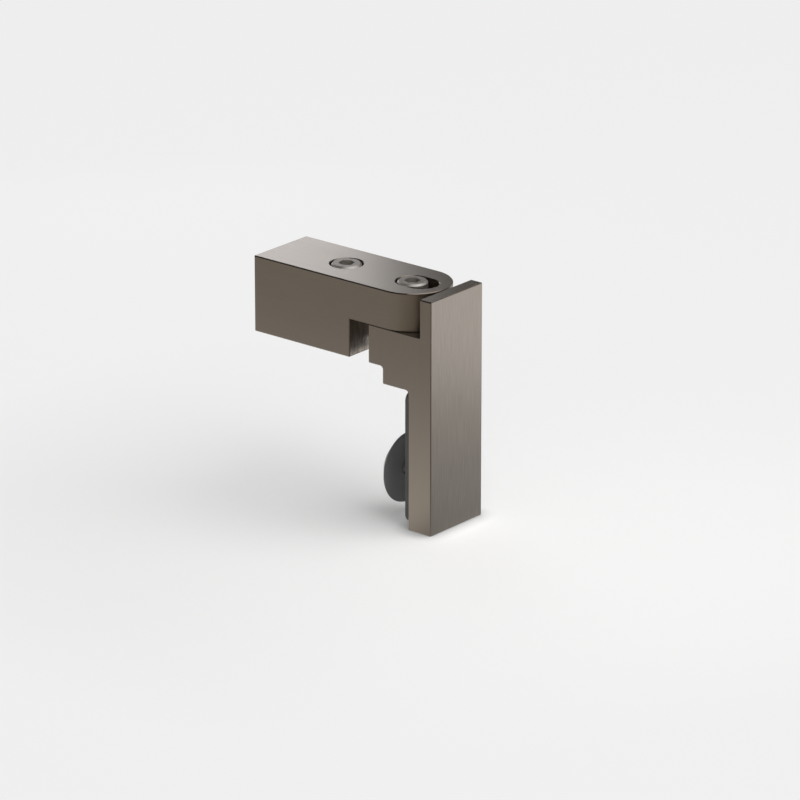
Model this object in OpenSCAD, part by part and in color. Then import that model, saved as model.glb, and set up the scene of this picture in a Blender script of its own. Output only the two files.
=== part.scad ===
// Stabilizer bar clamp for a shower screen: an L-shaped plate body grips the glass between a
// flat gasket and a round clamp disc, and a swivelling arm on its shoulder holds the round bar.
// Millimetres, +Z up, +X out of the plate's show face, bar along -X. The origin lies on the
// gasket's glass face, on the axis of the clamp disc.

/* [Plate] */
// Width of the plate, the shoulder and the arm
clamp_width = 22; // [20:0.5:28]
// Height of the plate from its foot to the top of the lip
plate_height = 67.4; // [60:0.1:90]
// Thickness of the plate beside the glass
plate_thickness = 8; // [7:0.25:11]
// Thickness of the lip that stands beside the arm's round end
lip_thickness = 4; // [3:0.25:5.5]
// Bevel that breaks the outer edges of the plate and the arm, and the counterbores' mouths
edge_bevel = 0.2; // [0.15:0.05:0.5]

/* [Shoulder] */
// Reach of the shoulder from the plate's show face
shoulder_reach = 22; // [20.5:0.25:24]
// Rise and tread of the step under the shoulder
step_size = 5; // [3.5:0.25:6]
// Fillet in the inside corners of the step
corner_fillet = 0.5; // [0.3:0.1:0.8]

/* [Arm] */
// Height of the arm, twice the height of its tongue
arm_height = 22; // [20:0.5:26]
// Reach of the arm from the swivel axis to its bar end
arm_reach = 47.4; // [45:0.1:70]
// Gap between the arm's round end and the lip
tip_clearance = 0.5; // [0.3:0.1:0.8]
// Gap between the notch of the arm and the shoulder's corners as the arm swings
swing_clearance = 0.45; // [0.3:0.05:0.8]
// How far the arm slides out along its slot
slide_travel = 3.3; // [2:0.1:3.6]

/* [Bar socket] */
// Diameter of the stabilizer bar
bar_diameter = 10; // [8:0.5:12]
// Gap all round the bar in its socket
bar_clearance = 0.1; // [0.05:0.05:0.2]
// Depth of the bar socket
socket_depth = 30; // [28:0.5:32]
// Wall under the bar socket
socket_floor = 3.4; // [2:0.1:3.8]
// Distance of the bar screw from the arm's bar end
bar_screw_inset = 24; // [18:0.5:25]

/* [Cap screws] */
// Thread diameter of the two cap screws in the arm
cap_thread = 5; // [4:0.5:5.5]
// Height of the cap heads above the top of the arm
head_rise = 0.2; // [0:0.05:0.4]
// Gap all round a cap head in its counterbore
head_clearance = 0.45; // [0.3:0.05:0.7]
// How far the bar screw can press down before its head is seated
bar_screw_travel = 1; // [0.6:0.1:1.2]

/* [Glass clamp] */
// Opening between the gasket and the pad of the clamp disc
glass_gap = 8.3; // [8.3:0.1:10.3]
// Height of the clamp disc's axis above the foot of the plate
disc_height = 13.2; // [12:0.1:20]
// Diameter of the clamp disc's pad
disc_diameter = 20; // [18:0.5:22]
// Thickness of the pad on the clamp disc
pad_thickness = 1; // [0.8:0.1:1.2]
// Thickness of the metal clamp disc
disc_thickness = 2.6; // [2.6:0.1:3.2]
// Thickness of the gasket on the plate
gasket_thickness = 1; // [0.8:0.1:1.5]
// Corner radius of the gasket
gasket_radius = 2.5; // [1:0.25:4]
// Outside diameter of the sleeve that passes through the glass
sleeve_diameter = 7; // [6.4:0.1:8]
// Thread diameter of the disc screw
disc_thread = 4; // [3:0.5:4]

/* [Hidden] */
$fn = 96;

// Small overshoot of cutting shapes
past = 0.5;
// Radial gap of a screw in its tapped hole
thread_gap = 0.05;
// Radial gap of a screw in a plain clearance hole
shank_gap = 0.15;
// Turn of the hexagon sockets in the cap screws
hex_turn = 40;
// Depth and radius of the drill's cone in a hexagon socket, as shares of its width across flats
drill_cone = 0.25;
drill_radius = 0.46;

// Plate and lip
half_width = clamp_width / 2;
plate_back = gasket_thickness;
plate_front = plate_back + plate_thickness;
lip_back = plate_front - lip_thickness;
plate_foot = -disc_height;
plate_top = plate_foot + plate_height;

// Arm levels, and the shoulder the tongue lies on
arm_bottom = plate_top - arm_height;
shoulder_top = plate_top - arm_height / 2;
shoulder_edge = plate_front - shoulder_reach;
step_wall = shoulder_edge + step_size;
web_bottom = arm_bottom - step_size;

// Swivel axis, and the notch wall that must pass the shoulder's corners
pivot_x = lip_back - tip_clearance - half_width;
corner_swing = norm([pivot_x - shoulder_edge, half_width]);
notch_wall = pivot_x - corner_swing - swing_clearance;
arm_end = pivot_x - arm_reach;

// Cap screws: low heads with a hexagon socket
cap_radius = cap_thread / 2;
cap_head_radius = 0.85 * cap_thread;
cap_head_height = 0.7 * cap_thread;
cap_hex = 0.8 * cap_thread;
cap_hex_depth = 0.5 * cap_thread;
cap_top = plate_top + head_rise;
cap_seat = cap_top - cap_head_height;
counterbore_radius = cap_head_radius + head_clearance;
bar_screw_seat = cap_seat - bar_screw_travel;

// Bar socket and its screw, whose tip waits just clear of the bar
socket_radius = bar_diameter / 2 + bar_clearance;
socket_axis = arm_bottom + socket_floor + socket_radius;
socket_crown = socket_axis + socket_radius;
socket_lead = 0.6;
bar_screw_x = arm_end + bar_screw_inset;
tip_wait = 0.1;
bar_screw_length = cap_seat - socket_crown - tip_wait;

// Pivot screw and its blind hole in the shoulder
pivot_hole_floor = 1.6;
pivot_hole_end = arm_bottom + pivot_hole_floor;
pivot_tip_gap = 0.5;
pivot_length = cap_seat - pivot_hole_end - pivot_tip_gap;

// Clamp disc, from the pad's glass face outwards
pad_face = -glass_gap;
pad_back = pad_face - pad_thickness;
disc_back = pad_back - disc_thickness;
pad_radius = disc_diameter / 2;
pad_rim = 0.2;
disc_taper = 1.2;
disc_base_radius = pad_radius - disc_taper * (pad_thickness - pad_rim);
disc_face_radius = disc_base_radius - disc_taper * disc_thickness;

// Disc screw: countersunk head with a hexagon socket, in a blind hole behind the show face
disc_shank = disc_thread / 2;
disc_head_radius = disc_thread;
disc_head_rim = 0.2;
disc_hex = 0.625 * disc_thread;
disc_hex_depth = 0.4 * disc_thread;
disc_hole_radius = disc_shank + shank_gap;
show_skin = 1.3;
disc_hole_end = plate_front - show_skin;
disc_tip_gap = 1.4;
disc_screw_tip = disc_hole_end - disc_tip_gap;

// Gasket and sleeve
gasket_foot = plate_foot + 2;
gasket_top = web_bottom - corner_fillet - 0.1;
sleeve_radius = sleeve_diameter / 2;
sleeve_bore = disc_shank + 0.2;
sleeve_seat = 0.05;
sleeve_reach = glass_gap - 2.3;

// Outline of the plate body seen from the side, in X and Z, anticlockwise: its outer corners are
// broken, and each filleted inside corner is a short slant
function body_outline() = let (b = edge_bevel, f = corner_fillet) [
    [plate_front - b, plate_foot], [plate_front, plate_foot + b],
    [plate_front, plate_top - b], [plate_front - b, plate_top],
    [lip_back + b, plate_top], [lip_back, plate_top - b],
    [lip_back, shoulder_top],
    [shoulder_edge + b, shoulder_top], [shoulder_edge, shoulder_top - b],
    [shoulder_edge, arm_bottom + b], [shoulder_edge + b, arm_bottom],
    [step_wall - f, arm_bottom], [step_wall, arm_bottom - f],
    [step_wall, web_bottom + b], [step_wall + b, web_bottom],
    [plate_back - f, web_bottom], [plate_back, web_bottom - f],
    [plate_back, plate_foot + b], [plate_back + b, plate_foot]
];

// Whether an outline turns inwards at its corner i
function turns_in(outline, i) = let (
    n = len(outline),
    before = outline[i % n] - outline[(i + n - 1) % n],
    after = outline[(i + 1) % n] - outline[i % n]
) before.x * after.y - before.y * after.x < 0;

// Cutter that bevels the edge from p to q, where faces with normals n1 and n2 meet
module edge_cut(p, q, n1, n2) {
    d = (q - p) / norm(q - p);
    right_handed = cross(n1, n2) * d > 0;
    a = right_handed ? n1 : n2;
    b = right_handed ? n2 : n1;
    multmatrix([[a.x, b.x, d.x, p.x], [a.y, b.y, d.y, p.y], [a.z, b.z, d.z, p.z], [0, 0, 0, 1]])
        linear_extrude(norm(q - p))
            polygon([[-edge_bevel - past, past], [past, past], [past, -edge_bevel - past]]);
}

// Bevels along both sides of a closed X-Z outline, except on the slants of its inside corners
module side_bevels(outline) {
    n = len(outline);
    for (i = [0 : n - 1], side = [-1, 1])
        if (!(turns_in(outline, i) && turns_in(outline, i + 1))) {
            p = outline[i];
            q = outline[(i + 1) % n];
            t = (q - p) / norm(q - p);
            edge_cut([p.x, side * half_width, p.y], [q.x, side * half_width, q.y],
                [t.y, 0, -t.x], [0, side, 0]);
        }
}

// Round that hollows the slant of the inside corner at x, z
module corner_round(x, z) {
    translate([x - corner_fillet, z - corner_fillet])
        circle(corner_fillet);
}

// Disc or rod along X between two stations
module rod_x(x0, x1, r0, r1) {
    translate([x0, 0, 0])
        rotate([0, 90, 0])
            cylinder(h = x1 - x0, r1 = r0, r2 = r1);
}

// Straight slot in plan, from the swivel axis towards the lip
module slot_plan(radius) {
    circle(radius);
    translate([slide_travel, 0])
        circle(radius);
    translate([0, -radius])
        square([slide_travel, 2 * radius]);
}

// Low cap screw with its head's top at z = 0
module cap_screw(length) {
    rim = 0.1 * cap_thread;
    tip = 0.1 * cap_thread;
    foot = -cap_head_height - length;
    difference() {
        rotate_extrude()
            polygon([
                [0, foot], [cap_radius - tip, foot], [cap_radius, foot + tip],
                [cap_radius, -cap_head_height], [cap_head_radius, -cap_head_height],
                [cap_head_radius, -rim], [cap_head_radius - rim, 0], [0, 0]
            ]);
        rotate([0, 0, hex_turn])
            hex_socket(cap_hex, cap_hex_depth);
    }
}

// Broached hexagon socket opening at z = 0, with the cone of its drill below
module hex_socket(across_flats, depth) {
    translate([0, 0, -depth])
        cylinder(h = depth + past, r = across_flats / sqrt(3), $fn = 6);
    translate([0, 0, -depth - drill_cone * across_flats])
        cylinder(h = drill_cone * across_flats, r1 = 0, r2 = drill_radius * across_flats);
}

// Plate, lip, shoulder and step in one piece
module clamp_body() {
    outline = body_outline();
    color("#6f665f")
        difference() {
            rotate([90, 0, 0])
                linear_extrude(clamp_width, center = true)
                    difference() {
                        polygon(outline);
                        corner_round(step_wall, arm_bottom);
                        corner_round(plate_back, web_bottom);
                    }
            side_bevels(outline);
            translate([pivot_x, 0, pivot_hole_end])
                cylinder(h = shoulder_top - pivot_hole_end + past, r = cap_radius + thread_gap);
            rod_x(plate_back - past, disc_hole_end, disc_shank + thread_gap, disc_shank + thread_gap);
        }
}

// Arm: bar block, tongue with a round end, slotted counterbore and bar socket
module swivel_arm() {
    corners = [[arm_end, -half_width], [arm_end, half_width]];
    color("#6f665f")
        difference() {
            union() {
                translate([0, 0, shoulder_top])
                    linear_extrude(plate_top - shoulder_top) {
                        translate([arm_end, -half_width])
                            square([pivot_x - arm_end, clamp_width]);
                        translate([pivot_x, 0])
                            circle(half_width);
                    }
                translate([arm_end, -half_width, arm_bottom])
                    cube([notch_wall - arm_end, clamp_width, arm_height]);
            }
            for (side = [-1, 1]) {
                y = side * half_width;
                out = [0, side, 0];
                edge_cut([arm_end, y, plate_top], [pivot_x, y, plate_top], out, [0, 0, 1]);
                edge_cut([notch_wall, y, shoulder_top], [pivot_x, y, shoulder_top], out, [0, 0, -1]);
                edge_cut([arm_end, y, arm_bottom], [notch_wall, y, arm_bottom], out, [0, 0, -1]);
                edge_cut([arm_end, y, arm_bottom], [arm_end, y, plate_top], out, [-1, 0, 0]);
                edge_cut([notch_wall, y, arm_bottom], [notch_wall, y, shoulder_top], out, [1, 0, 0]);
            }
            for (level = [arm_bottom, plate_top])
                edge_cut([arm_end, -half_width, level], [arm_end, half_width, level],
                    [-1, 0, 0], [0, 0, level == plate_top ? 1 : -1]);
            edge_cut([notch_wall, -half_width, arm_bottom], [notch_wall, half_width, arm_bottom],
                [1, 0, 0], [0, 0, -1]);
            tongue_bevels();
            translate([pivot_x, 0, cap_seat])
                linear_extrude(plate_top - cap_seat + past)
                    slot_plan(counterbore_radius);
            translate([pivot_x, 0, shoulder_top - past])
                linear_extrude(plate_top - shoulder_top)
                    slot_plan(cap_radius + shank_gap);
            translate([bar_screw_x, 0, bar_screw_seat])
                cylinder(h = plate_top - bar_screw_seat + past, r = counterbore_radius);
            mouth_bevel(pivot_x, slide_travel);
            mouth_bevel(bar_screw_x, 0);
            translate([bar_screw_x, 0, socket_axis])
                cylinder(h = plate_top - socket_axis, r = cap_radius + thread_gap);
            translate([0, 0, socket_axis]) {
                rod_x(arm_end - past, arm_end + socket_depth, socket_radius, socket_radius);
                rod_x(arm_end - past, arm_end + socket_lead,
                    socket_radius + socket_lead + past, socket_radius);
            }
        }
}

// Bevel round a counterbore's mouth at x, drawn out along X to a slot's length
module mouth_bevel(x, slot_length) {
    low = counterbore_radius - past;
    high = counterbore_radius + edge_bevel + past;
    rise = high - low;
    translate([x, 0, plate_top - edge_bevel - past]) {
        cylinder(h = rise, r1 = low, r2 = high);
        if (slot_length > 0) {
            translate([slot_length, 0, 0])
                cylinder(h = rise, r1 = low, r2 = high);
            rotate([90, 0, 90])
                linear_extrude(slot_length)
                    polygon([[-low, 0], [low, 0], [high, rise], [-high, rise]]);
        }
    }
}

// Bevels round the tongue's end, above and below
module tongue_bevels() {
    inner = half_width - edge_bevel - past;
    outer = half_width + past;
    translate([pivot_x, 0, 0])
        rotate([0, 0, -90])
            rotate_extrude(angle = 180) {
                polygon([[inner, plate_top + past], [outer, plate_top - edge_bevel - past],
                    [outer, plate_top + past]]);
                polygon([[inner, shoulder_top - past], [outer, shoulder_top - past],
                    [outer, shoulder_top + edge_bevel + past]]);
            }
}

// Cap screw that pins the tongue to the shoulder
module pivot_screw() {
    color("#8a837b")
        translate([pivot_x, 0, cap_top])
            cap_screw(pivot_length);
}

// Cap screw that presses on the bar
module bar_screw() {
    color("#8a837b")
        translate([bar_screw_x, 0, cap_top])
            cap_screw(bar_screw_length);
}

// Flat gasket between the plate and the glass
module glass_gasket() {
    height = gasket_top - gasket_foot;
    flat_y = half_width - gasket_radius;
    flat_z = height / 2 - gasket_radius;
    color("#3a3a38")
        difference() {
            translate([0, 0, (gasket_foot + gasket_top) / 2])
                rotate([90, 0, 90])
                    linear_extrude(gasket_thickness) {
                        square([clamp_width, 2 * flat_z], center = true);
                        square([2 * flat_y, height], center = true);
                        for (y = [-flat_y, flat_y], z = [-flat_z, flat_z])
                            translate([y, z])
                                circle(gasket_radius);
                    }
            rod_x(-past, plate_back + past, sleeve_radius + sleeve_seat, sleeve_radius + sleeve_seat);
        }
}

// Sleeve that keeps the screw off the edge of the hole in the glass
module glass_sleeve() {
    color("#2f2f2e")
        difference() {
            rod_x(-sleeve_reach, plate_back, sleeve_radius, sleeve_radius);
            rod_x(-sleeve_reach - past, plate_back + past, sleeve_bore, sleeve_bore);
        }
}

// Tapered metal disc that pulls the pad against the glass
module clamp_disc() {
    color("#6f665f")
        difference() {
            rod_x(disc_back, pad_back, disc_face_radius, disc_base_radius);
            rod_x(disc_back - past, pad_back + past, disc_hole_radius, disc_hole_radius);
            rod_x(disc_back - past, disc_back + disc_head_rim + disc_head_radius,
                disc_head_radius + past + disc_head_rim, 0);
        }
}

// Rubber pad under the disc, with a rim that tapers away from the glass
module disc_pad() {
    color("#3a3a38")
        difference() {
            union() {
                rod_x(pad_back, pad_face - pad_rim, disc_base_radius, pad_radius);
                rod_x(pad_face - pad_rim, pad_face, pad_radius, pad_radius);
            }
            rod_x(pad_back - past, pad_face + past, disc_hole_radius, disc_hole_radius);
        }
}

// Countersunk screw through disc, pad and sleeve into the plate
module disc_screw() {
    tip = 0.1 * disc_thread;
    cone_end = disc_back + disc_head_rim + disc_head_radius - disc_shank;
    color("#8a837b")
        difference() {
            rotate([0, 90, 0])
                rotate_extrude()
                    polygon([
                        [0, disc_back], [disc_head_radius, disc_back],
                        [disc_head_radius, disc_back + disc_head_rim], [disc_shank, cone_end],
                        [disc_shank, disc_screw_tip - tip], [disc_shank - tip, disc_screw_tip],
                        [0, disc_screw_tip]
                    ]);
            translate([disc_back, 0, 0])
                rotate([0, -90, 0])
                    hex_socket(disc_hex, disc_hex_depth);
        }
}

clamp_body();
swivel_arm();
pivot_screw();
bar_screw();
glass_gasket();
glass_sleeve();
clamp_disc();
disc_pad();
disc_screw();
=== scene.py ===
"""Looks of a stabilizer bar clamp for a shower screen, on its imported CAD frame, in metres."""
import math
from functools import partial

import bpy
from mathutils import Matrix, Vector


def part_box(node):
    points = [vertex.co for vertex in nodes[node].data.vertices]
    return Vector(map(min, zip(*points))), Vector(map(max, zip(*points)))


MM = 0.001

# Camera: the photograph's angle from the show side, its long lens and its framing
CAMERA_AZIMUTH = 39.82
CAMERA_ELEVATION = 19.51
CAMERA_DISTANCE = 1501 * MM
CAMERA_AIM = Vector((-16, 0, 32)) * MM
FOCAL_PIXELS = 5489
IMAGE_PIXELS = 800
SENSOR_WIDTH = 36
FRAME_RIGHT_PIXELS = 14.2
FRAME_DOWN_PIXELS = 49.5

# Share of a normal along an axis: on flat faces, and on faces that look mostly that way
FLAT = 0.9
MOSTLY = 0.6

# Grit lines of the brushing, width and length: 0.1 mm apart on the real metal, drawn 0.3 mm wide so
# that they show
PLATE_GRAIN = (0.3 * MM, 9 * MM)
ARM_GRAIN = (0.3 * MM, 14 * MM)
# Cutter lines on the milled ends of the arm: 0.2 mm apart on the real metal, drawn 0.6 mm wide
MILLED_GRAIN = (0.6 * MM, 5 * MM)
# Depth of these lines
PLATE_CUT = 0.02 * MM
ARM_CUT = 0.03 * MM
# Strength of the streaks: the linished sides, the faces towards the bar, the plate's show face and
# the milled wall of the arm's notch
PLAIN_STREAKS = 0.06
REAR_STREAKS = 0.45
SHOW_STREAKS = 0.45
MILLED_STREAKS = 1.5
# The streaks take in the plate's show face, and stop short of the arm's round end
SHOW_FACE_REACH = 1 * MM
ROUND_END_REACH = -2 * MM
# Roughness between and on the grit lines, and the share of it that the end faces have: the arm's milled
# ones are smoother
BETWEEN_LINES = 0.3
ON_LINES = 0.36
SHOW_ROUGHNESS = 1.0
MILLED_ROUGHNESS = 0.5
# The coat is greyer on the end faces; a dark line along the long top edges is painted shade,
# standing in for the dark that their bevels reflect
END_SATURATION = 0.75
EDGE_LINE = 0.35 * MM
PAINTED_EDGE_SHADE = 0.3

# Mottle of the coat on the screws, and the grain that blasted tools leave on the rubber
SPECK_SIZE = 0.4 * MM
RUBBER_GRAIN = 0.25 * MM
RUBBER_RELIEF = 0.02 * MM
# Turning rings of the mould on the sleeve, and the waves that the wave texture draws in one unit
RING_PITCH = 0.5 * MM
WAVES_PER_UNIT = 20 / math.tau

# Floor: lit paint with the object's shadow at the foot, an even pale backdrop further out
FLOOR_WIDTH = 40
BACKDROP_REACH = 160 * MM
BACKDROP_AT_FOOT = 0.15
BACKDROP_FAR = 0.97
# Painted contact shadow: the paint darkens close to the foot
CONTACT_REACH = 5 * MM
# The metal mirrors a floor of painted light and shade instead, which only glossy rays see: its tone
# from front to rear, left and right of the plate's foot, in mm, and the stretch of X over which left
# changes into right
MIRROR_REACH = 260
MIRROR_LEFT = (
    (-240, "#bebcb9"), (-190, "#cabea6"), (-150, "#848484"), (-80, "#dedede"), (-20, "#ffffff"),
    (20, "#ffffff"), (60, "#909090"), (115, "#909090"), (200, "#e6e6e6"),
)
MIRROR_RIGHT = (
    (-240, "#bebcb9"), (-178, "#b0a590"), (-140, "#8b806c"), (-100, "#665c4e"), (-30, "#8b8b8b"),
    (0, "#c8c8c8"), (145, "#ffffff"),
)
MIRROR_LEFT_END = -10 * MM
MIRROR_RIGHT_START = 15 * MM
# World: light from the studio's walls, from its unlit rear corner and from its ceiling
WALL_LIGHT = 0.45
CORNER_LIGHT = 0.09
CEILING_LIGHT = 0.04
# The corner's direction, how near to it the walls start to dim, and the heights where they end and
# the ceiling starts
REAR_CORNER = (-0.64, 0.77, 0)
CORNER_EDGE = 0.55
CORNER_CORE = 0.9
WALL_END = 0.3
CEILING_START = 0.75

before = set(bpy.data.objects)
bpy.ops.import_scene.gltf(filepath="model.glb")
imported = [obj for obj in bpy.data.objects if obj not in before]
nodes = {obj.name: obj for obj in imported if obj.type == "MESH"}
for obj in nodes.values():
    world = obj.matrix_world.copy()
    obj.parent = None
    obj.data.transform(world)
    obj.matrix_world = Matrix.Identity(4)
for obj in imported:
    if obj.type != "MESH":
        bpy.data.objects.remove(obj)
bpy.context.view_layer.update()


def linear(hex_colour):
    """sRGB hex colour as linear RGBA."""
    channels = [int(hex_colour[i:i + 2], 16) / 255 for i in (1, 3, 5)]
    return [c / 12.92 if c <= 0.04045 else ((c + 0.055) / 1.055) ** 2.4 for c in channels] + [1]


def add(tree, kind, inputs=None, **settings):
    """Adds a shader node to a tree, sets it up and fills its inputs with values or links."""
    made = tree.nodes.new("ShaderNode" + kind)
    for name, value in settings.items():
        setattr(made, name, value)
    for name, value in (inputs or {}).items():
        if isinstance(value, bpy.types.NodeSocket):
            tree.links.new(value, made.inputs[name])
        else:
            made.inputs[name].default_value = value
    return made


def new_material(name):
    """Empty node material, and the function that adds nodes to it."""
    material = bpy.data.materials.new(name)
    material.use_nodes = True
    material.node_tree.nodes.clear()
    return material, partial(add, material.node_tree)


def tones(put, factor, stops):
    """Colour that runs through stops of place and sRGB hex as a factor rises from 0 to 1."""
    ramp = put("ValToRGB", {"Fac": factor})
    elements = ramp.color_ramp.elements
    while len(elements) < len(stops):
        elements.new(0.5)
    for element, (place, tone) in zip(elements, stops):
        element.position = place
        element.color = linear(tone)
    return ramp.outputs["Color"]


def looks_along(put, axis, share, compare="GREATER_THAN"):
    """Mask of the faces whose normal has more, or less, than a share along an axis, either way."""
    place = put("TexCoord")
    normal = put("SeparateXYZ", {"Vector": place.outputs["Normal"]})
    along = put("Math", {0: normal.outputs[axis]}, operation="ABSOLUTE")
    return put("Math", {0: along.outputs[0], 1: share}, operation=compare).outputs[0]


def brushed_gunmetal(
        name, piece, upright_where, lying, upright, cut, end_streaks, end_roughness, streaks_past):
    """Stainless steel, linished with a belt and coated gunmetal: a warm grey metal whose reflections
    are smeared by fine grit lines. The lines are upright where a face looks as asked and lie along X
    elsewhere. They show most on the faces that look along X, up to a length past the piece's right
    end, or short of it for an end that is rounded and linished like the sides. A thin dark line
    along the top edges of the sides is painted shade, standing in for the dark that their bevels
    reflect."""
    material, put = new_material(name)
    corners = nodes[piece].bound_box
    right_end = max(corner[0] for corner in corners)
    top = max(corner[2] for corner in corners)
    place = put("TexCoord")
    spot = put("SeparateXYZ", {"Vector": place.outputs["Object"]})
    normal = put("SeparateXYZ", {"Vector": place.outputs["Normal"]})

    within = put("Math", {0: spot.outputs["X"], 1: right_end + streaks_past}, operation="LESS_THAN")
    end_face = put("Math", {
        0: looks_along(put, "X", FLAT), 1: within.outputs[0],
    }, operation="MULTIPLY").outputs[0]
    axis, compare = upright_where
    stretch = put("Mix", {
        "Factor": looks_along(put, axis, MOSTLY, compare),
        4: (1 / lying[1], 1 / lying[0], 1 / lying[0]),
        5: (1 / upright[0], 1 / upright[0], 1 / upright[1]),
    }, data_type="VECTOR")
    grain_place = put("VectorMath", {
        0: place.outputs["Object"], 1: stretch.outputs[1],
    }, operation="MULTIPLY")
    lines = put("TexNoise", {
        "Vector": grain_place.outputs[0], "Scale": 1.0, "Detail": 3.0, "Roughness": 0.6,
    })

    ahead = put("Math", {0: normal.outputs["X"], 1: FLAT}, operation="GREATER_THAN")
    end_depth = put("MapRange", {
        "Value": ahead.outputs[0], "To Min": REAR_STREAKS, "To Max": end_streaks,
    })
    depth = put("MapRange", {
        "Value": end_face, "To Min": PLAIN_STREAKS, "To Max": end_depth.outputs["Result"],
    })
    swing = put("Math", {0: lines.outputs["Fac"], 1: 0.5}, operation="SUBTRACT")
    streak = put("Math", {
        0: swing.outputs[0], 1: depth.outputs["Result"], 2: 0.5,
    }, operation="MULTIPLY_ADD")
    tint = put("MapRange", {"Value": end_face, "To Min": 1.0, "To Max": END_SATURATION})
    # Painted shade: a dark line along the top edges of the sides, for the dark that their bevels reflect
    near_top = put("Math", {0: spot.outputs["Z"], 1: top - EDGE_LINE}, operation="GREATER_THAN")
    edge = put("Math", {
        0: near_top.outputs[0], 1: looks_along(put, "Y", MOSTLY),
    }, operation="MULTIPLY")
    edge_shade_factor = put("MapRange", {"Value": edge.outputs[0], "To Min": 1.0, "To Max": PAINTED_EDGE_SHADE})
    colour = put("HueSaturation", {
        "Color": tones(put, streak.outputs[0], ((0, "#5e564e"), (0.5, "#8e8479"), (1, "#b5aca2"))),
        "Saturation": tint.outputs["Result"], "Value": edge_shade_factor.outputs["Result"],
    })

    linished = put("MapRange", {
        "Value": lines.outputs["Fac"], "From Min": 0.3, "From Max": 0.7,
        "To Min": BETWEEN_LINES, "To Max": ON_LINES,
    })
    milled = put("MapRange", {"Value": end_face, "To Min": 1.0, "To Max": end_roughness})
    roughness = put("Math", {
        0: linished.outputs["Result"], 1: milled.outputs["Result"],
    }, operation="MULTIPLY")
    relief = put("Bump", {"Height": streak.outputs[0], "Strength": 0.5, "Distance": cut})
    shader = put("BsdfPrincipled", {
        "Base Color": colour.outputs["Color"], "Metallic": 1.0,
        "Roughness": roughness.outputs[0], "Normal": relief.outputs["Normal"],
    })
    put("OutputMaterial", {"Surface": shader.outputs[0]})
    return material


def turned_screw_steel(name, screw_axis):
    """Stainless steel screw, turned and coated: brighter than the brushed body, with a soft gloss. Its
    faces that don't look along its axis, the turned rim and the broached socket, are painted paler:
    a painted highlight and painted light where these faces catch the lamps."""
    material, put = new_material(name)
    place = put("TexCoord")
    specks = put("TexNoise", {
        "Vector": place.outputs["Object"], "Scale": 1 / SPECK_SIZE, "Detail": 2.0,
    })
    # Painted highlight: faces that don't look along the screw's axis (rim, chamfer, socket walls) get a
    # paler colour for the light they catch
    colour = put("Mix", {
        "Factor": looks_along(put, screw_axis, FLAT, "LESS_THAN"),
        6: tones(put, specks.outputs["Fac"], ((0, "#8a827a"), (1, "#9c958d"))),
        7: linear("#c4bfb9"),
    }, data_type="RGBA")
    shader = put("BsdfPrincipled", {
        "Base Color": colour.outputs[2], "Metallic": 1.0, "Roughness": 0.48,
    })
    put("OutputMaterial", {"Surface": shader.outputs[0]})
    return material


def epdm_rubber(name, dark, pale):
    """EPDM rubber, moulded for the pad and cut from pressed sheet for the gasket: dark grey and matt, with
    the fine grain of a blasted mould or press plate."""
    material, put = new_material(name)
    place = put("TexCoord")
    grain = put("TexNoise", {
        "Vector": place.outputs["Object"], "Scale": 1 / RUBBER_GRAIN, "Detail": 3.0,
    })
    relief = put("Bump", {
        "Height": grain.outputs["Fac"], "Strength": 0.3, "Distance": RUBBER_RELIEF,
    })
    shader = put("BsdfPrincipled", {
        "Base Color": tones(put, grain.outputs["Fac"], ((0, dark), (1, pale))),
        "Roughness": 0.75, "IOR": 1.5, "Normal": relief.outputs["Normal"],
    })
    put("OutputMaterial", {"Surface": shader.outputs[0]})
    return material


def moulded_nylon(name):
    """Moulded nylon sleeve: dark grey, with a low waxy sheen and faint rings from the turned mould."""
    material, put = new_material(name)
    place = put("TexCoord")
    rings = put("TexWave", {
        "Vector": place.outputs["Object"], "Scale": 1 / (WAVES_PER_UNIT * RING_PITCH),
        "Distortion": 1.0, "Detail": 1.0,
    }, bands_direction="X")
    shader = put("BsdfPrincipled", {
        "Base Color": tones(put, rings.outputs["Fac"], ((0, "#2f2f2e"), (1, "#3a3a39"))),
        "Roughness": 0.55, "IOR": 1.53,
    })
    put("OutputMaterial", {"Surface": shader.outputs[0]})
    return material


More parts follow.
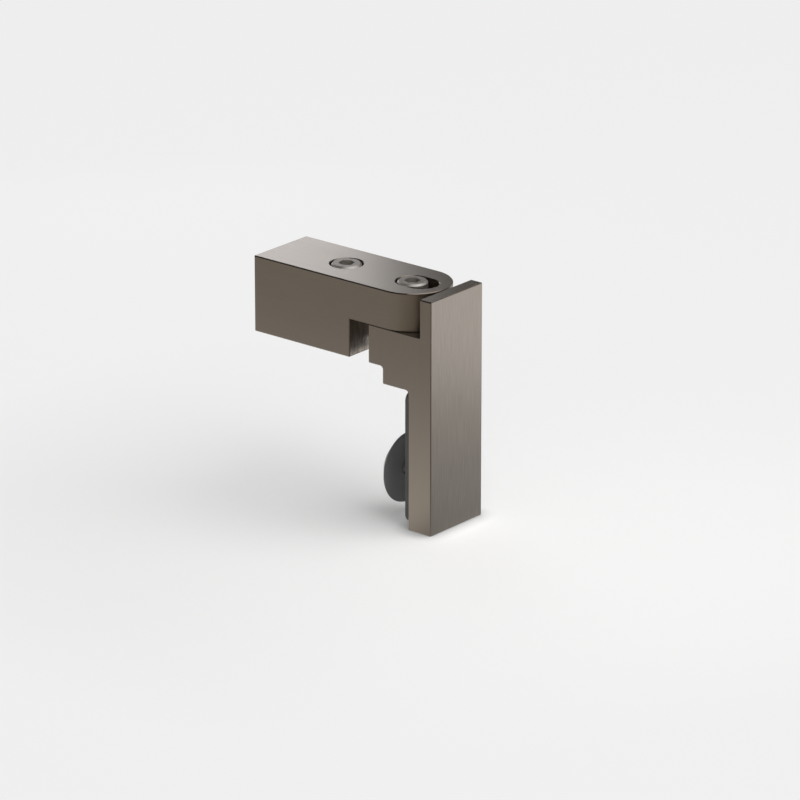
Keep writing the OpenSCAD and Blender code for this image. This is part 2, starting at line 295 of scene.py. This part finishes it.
def studio_floor():
    """Pale seamless floor under the foot of the plate. Its paint carries a painted contact shadow at the
    foot, and glossy rays see painted light and shade on it for the metal to mirror.
    """
    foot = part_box("clamp_body")[0][2]
    bpy.ops.mesh.primitive_plane_add(size=FLOOR_WIDTH, location=(0, 0, foot))
    floor = bpy.context.object
    floor.name = "studio_floor"
    material, put = new_material("painted_studio_floor")
    place = put("TexCoord")
    spot = put("SeparateXYZ", {"Vector": place.outputs["Object"]})
    ray = put("LightPath")

    # Painted reflection: tones of light and shade that only glossy rays see, darker towards the front and
    # where the plate's front would shade the floor
    rearward = put("MapRange", {
        "Value": spot.outputs["Y"], "From Min": -MIRROR_REACH * MM, "From Max": MIRROR_REACH * MM,
    })
    left, right = (
        tones(put, rearward.outputs["Result"], [
            ((along + MIRROR_REACH) / (2 * MIRROR_REACH), tone) for along, tone in stops
        ])
        for stops in (MIRROR_LEFT, MIRROR_RIGHT)
    )
    rightward = put("MapRange", {
        "Value": spot.outputs["X"], "From Min": MIRROR_LEFT_END, "From Max": MIRROR_RIGHT_START,
    }, interpolation_type="SMOOTHSTEP")
    painted_mirror_tone = put("Mix", {"Factor": rightward.outputs["Result"], 6: left, 7: right}, data_type="RGBA")
    shown = put("Mix", {
        "Factor": ray.outputs["Is Glossy Ray"], 6: linear("#f0f0f0"), 7: painted_mirror_tone.outputs[2],
    }, data_type="RGBA")
    backdrop = put("Emission", {"Color": shown.outputs[2], "Strength": 1.0})

    # Painted contact shadow: ambient occlusion darkens the floor's paint colour near the foot
    painted_contact_shadow = put("AmbientOcclusion", {
        "Color": linear("#f2f1f0"), "Distance": CONTACT_REACH,
    }, samples=6)
    paint = put("BsdfDiffuse", {"Color": painted_contact_shadow.outputs["Color"]})

    out = put("VectorMath", {0: place.outputs["Object"]}, operation="LENGTH")
    even = put("MapRange", {
        "Value": out.outputs["Value"], "From Min": 0.0, "From Max": BACKDROP_REACH,
        "To Min": BACKDROP_AT_FOOT, "To Max": BACKDROP_FAR,
    })
    seen = put("Math", {
        0: ray.outputs["Is Camera Ray"], 1: ray.outputs["Is Transmission Ray"],
    }, operation="MAXIMUM")
    plain = put("Math", {0: seen.outputs[0], 1: even.outputs["Result"]}, operation="MULTIPLY")
    share = put("Math", {0: ray.outputs["Is Glossy Ray"], 1: plain.outputs[0]}, operation="MAXIMUM")
    mixed = put("MixShader", {"Fac": share.outputs[0], 1: paint.outputs[0], 2: backdrop.outputs[0]})
    put("OutputMaterial", {"Surface": mixed.outputs[0]})
    floor.data.materials.append(material)


def softbox(name, place, aim, size, watts, spread=180, colour="#ffffff", matt=True, gloss=True):
    """Rectangular studio light at a place, turned to its aim, on matt surfaces, glossy ones or both."""
    lamp = bpy.data.lights.new(name, "AREA")
    lamp.shape = "RECTANGLE"
    lamp.size, lamp.size_y = size
    lamp.energy = watts
    lamp.spread = math.radians(spread)
    lamp.color = linear(colour)[:3]
    light = bpy.data.objects.new(name, lamp)
    light.location = place
    light.rotation_euler = (Vector(aim) - Vector(place)).to_track_quat("-Z", "Y").to_euler()
    light.visible_camera = False
    light.visible_diffuse = matt
    light.visible_glossy = gloss
    bpy.context.scene.collection.objects.link(light)


def studio_walls():
    """World with pale walls, a dim corner at the rear left and a dim ceiling."""
    world = bpy.data.worlds.new("studio")
    world.use_nodes = True
    world.node_tree.nodes.clear()
    put = partial(add, world.node_tree)
    way = put("TexCoord")
    height = put("SeparateXYZ", {"Vector": way.outputs["Generated"]})
    cornerward = put("VectorMath", {
        0: way.outputs["Generated"], 1: REAR_CORNER,
    }, operation="DOT_PRODUCT")
    walls = put("MapRange", {
        "Value": cornerward.outputs["Value"], "From Min": CORNER_EDGE, "From Max": CORNER_CORE,
        "To Min": WALL_LIGHT, "To Max": CORNER_LIGHT,
    }, interpolation_type="SMOOTHSTEP")
    level = put("MapRange", {
        "Value": height.outputs["Z"], "From Min": WALL_END, "From Max": CEILING_START,
        "To Min": walls.outputs["Result"], "To Max": CEILING_LIGHT,
    }, interpolation_type="SMOOTHSTEP")
    sky = put("Background", {"Color": linear("#ffffff"), "Strength": level.outputs["Result"]})
    put("OutputWorld", {"Surface": sky.outputs[0]})
    bpy.context.scene.world = world


def studio_light():
    """Large key light from the right for the shadow, a small fill, the glow that the plate throws on the
    floor at its foot, and softboxes that the metal mirrors."""
    softbox("key_softbox", (0.27, 0.07, 0.42), (0, 0, 0), (0.6, 0.6), 3.5, gloss=False)
    softbox("overhead_softbox", (0.26, 0.03, 0.4), (0, 0, 0), (0.56, 0.56), 1.25, matt=False)
    softbox("fill_softbox", (0.33, -0.42, 0.1), (0, 0, 0.02), (0.12, 0.12), 0.02, spread=24, gloss=False)
    softbox("ceiling_softbox", (-0.2, 0.2, 0.5), (-0.2, 0.2, 0), (0.44, 0.5), 0.25, matt=False)
    softbox("arm_softbox", (-0.26, 0.168, 0.12), (-0.05, 0, 0.05), (0.16, 0.2), 0.2, colour="#f4f8ff")
    softbox("plate_glow", (0.0094, 0, -0.0078), (1, 0, -0.0078), (0.021, 0.01), 0.0004, gloss=False)
    softbox("plate_reflector", (0.14, 0.16, -0.012), (0.14, 0.16, 1), (0.15, 0.15), 0.04, matt=False)


def photo_camera():
    """Camera where the photographer's stood, turned so that the object falls in the same place."""
    turn = math.radians(CAMERA_AZIMUTH)
    rise = math.radians(CAMERA_ELEVATION)
    back = Vector((math.sin(turn) * math.cos(rise), -math.cos(turn) * math.cos(rise), math.sin(rise)))
    right = Vector((math.cos(turn), math.sin(turn), 0))
    up = back.cross(right)
    data = bpy.data.cameras.new("photo_camera")
    data.sensor_width = SENSOR_WIDTH
    data.lens = FOCAL_PIXELS / IMAGE_PIXELS * SENSOR_WIDTH
    camera = bpy.data.objects.new("photo_camera", data)
    camera.location = CAMERA_AIM + back * CAMERA_DISTANCE
    look = -back + right * (FRAME_RIGHT_PIXELS / FOCAL_PIXELS) - up * (FRAME_DOWN_PIXELS / FOCAL_PIXELS)
    camera.rotation_euler = look.to_track_quat("-Z", "Y").to_euler()
    bpy.context.scene.collection.objects.link(camera)
    bpy.context.scene.camera = camera


photo_camera()
studio_floor()
studio_walls()
studio_light()
bpy.context.scene.view_settings.view_transform = "Standard"

plate_metal = brushed_gunmetal(
    "brushed_gunmetal_plate", "clamp_body", upright_where=("Z", "LESS_THAN"),
    lying=PLATE_GRAIN, upright=PLATE_GRAIN, cut=PLATE_CUT,
    end_streaks=SHOW_STREAKS, end_roughness=SHOW_ROUGHNESS, streaks_past=SHOW_FACE_REACH,
)
arm_metal = brushed_gunmetal(
    "brushed_gunmetal_arm", "swivel_arm", upright_where=("X", "GREATER_THAN"),
    lying=ARM_GRAIN, upright=MILLED_GRAIN, cut=ARM_CUT,
    end_streaks=MILLED_STREAKS, end_roughness=MILLED_ROUGHNESS, streaks_past=ROUND_END_REACH,
)
cap_screw_steel = turned_screw_steel("turned_cap_screw_steel", "Z")
disc_screw_steel = turned_screw_steel("turned_disc_screw_steel", "X")
finishes = {
    "clamp_body": plate_metal,
    "clamp_disc": plate_metal,
    "swivel_arm": arm_metal,
    "pivot_screw": cap_screw_steel,
    "bar_screw": cap_screw_steel,
    "disc_screw": disc_screw_steel,
    "glass_gasket": epdm_rubber("die_cut_epdm_sheet", "#434342", "#4d4d4b"),
    "disc_pad": epdm_rubber("moulded_epdm_rubber", "#605f5f", "#6c6b6b"),
    "glass_sleeve": moulded_nylon("moulded_nylon_sleeve"),
}
for node, finish in finishes.items():
    nodes[node].data.materials.clear()
    nodes[node].data.materials.append(finish)
